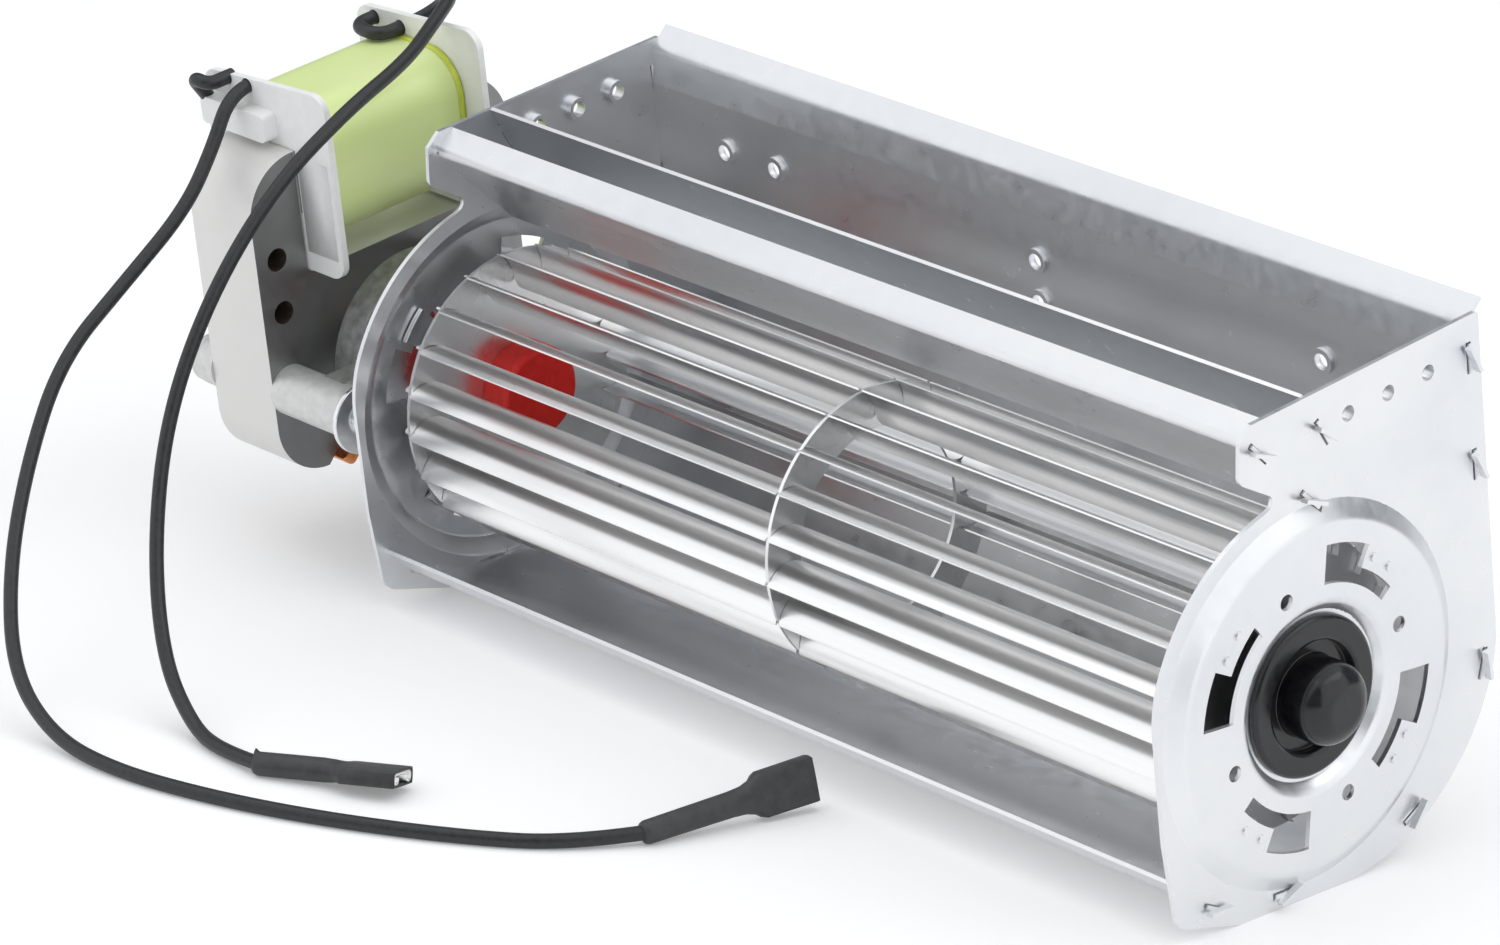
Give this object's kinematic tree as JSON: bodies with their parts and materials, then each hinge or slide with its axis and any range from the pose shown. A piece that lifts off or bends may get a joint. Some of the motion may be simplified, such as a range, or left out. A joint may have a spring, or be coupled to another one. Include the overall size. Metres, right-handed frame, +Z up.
{
  "type": "cross flow fan",
  "caption": "Tangential blower: a long slotted drum wheel in a bent sheet housing, driven at one end by a small shaded-pole motor with a taped coil and black leads.",
  "frame": {"origin": "centre of the base of the bounding box, without the leads", "axes": "+X along the wheel's axis from the motor to the bearing end, +Y towards the scroll's back wall, +Z up; the fan leans back 7 degrees on its facet"},
  "size_m": [0.3088, 0.182, 0.1143],
  "materials": {
    "galvanised_sheet": "satin zinc coat",
    "black_rubber": "satin",
    "sintered_bronze": "matte",
    "laminations": "satin",
    "copper": "bright",
    "white_nylon": "satin",
    "lime_tape": "satin",
    "die_cast_zinc": "matte",
    "zinc_plated_steel": "bright",
    "black_insulation": "satin",
    "black_shrink_sleeve": "matte",
    "tinned_brass": "bright",
    "bright_aluminium": "bright rolled",
    "steel": "ground",
    "red_silicone": "satin",
    "cast_aluminium": "cast"
  },
  "bodies": {
    "housing": {"bearing_end_plate": "galvanised_sheet", "motor_end_plate": "galvanised_sheet", "scroll": "galvanised_sheet", "tongue": "galvanised_sheet", "rubber_mount": "black_rubber", "bearing_bush": "sintered_bronze", "stator_frame": "laminations", "stator_core": "laminations", "shading_rings": "copper", "bobbin": "white_nylon", "winding": "copper", "winding_tape": "lime_tape", "motor_bearings": "sintered_bronze", "front_bracket": "die_cast_zinc", "rear_bracket": "die_cast_zinc", "mounting_plate": "zinc_plated_steel", "motor_screws": "zinc_plated_steel", "front_lacing": "black_insulation", "rear_lacing": "black_insulation", "front_lead": "black_insulation", "rear_lead": "black_insulation", "front_lead_sleeve": "black_shrink_sleeve", "rear_lead_sleeve": "black_shrink_sleeve", "front_terminal": "tinned_brass", "rear_terminal": "tinned_brass"},
    "rotor": {"wheel_disc_motor_side": "bright_aluminium", "wheel_middle_ring": "bright_aluminium", "wheel_disc_bearing_side": "bright_aluminium", "blades_motor_side": "bright_aluminium", "blades_bearing_side": "bright_aluminium", "stub_shaft": "steel", "shaft_hub": "red_silicone", "motor_shaft": "steel", "rotor_core": "laminations", "rotor_end_rings": "cast_aluminium", "thrust_washers": "white_nylon"}
  },
  "joints": [
    {"name": "wheel_spin", "type": "hinge", "parent": "housing", "child": "rotor", "pos_m": [0, -0.00569, 0.04193], "axis": [1, 0, 0], "continuous": true}
  ]
}
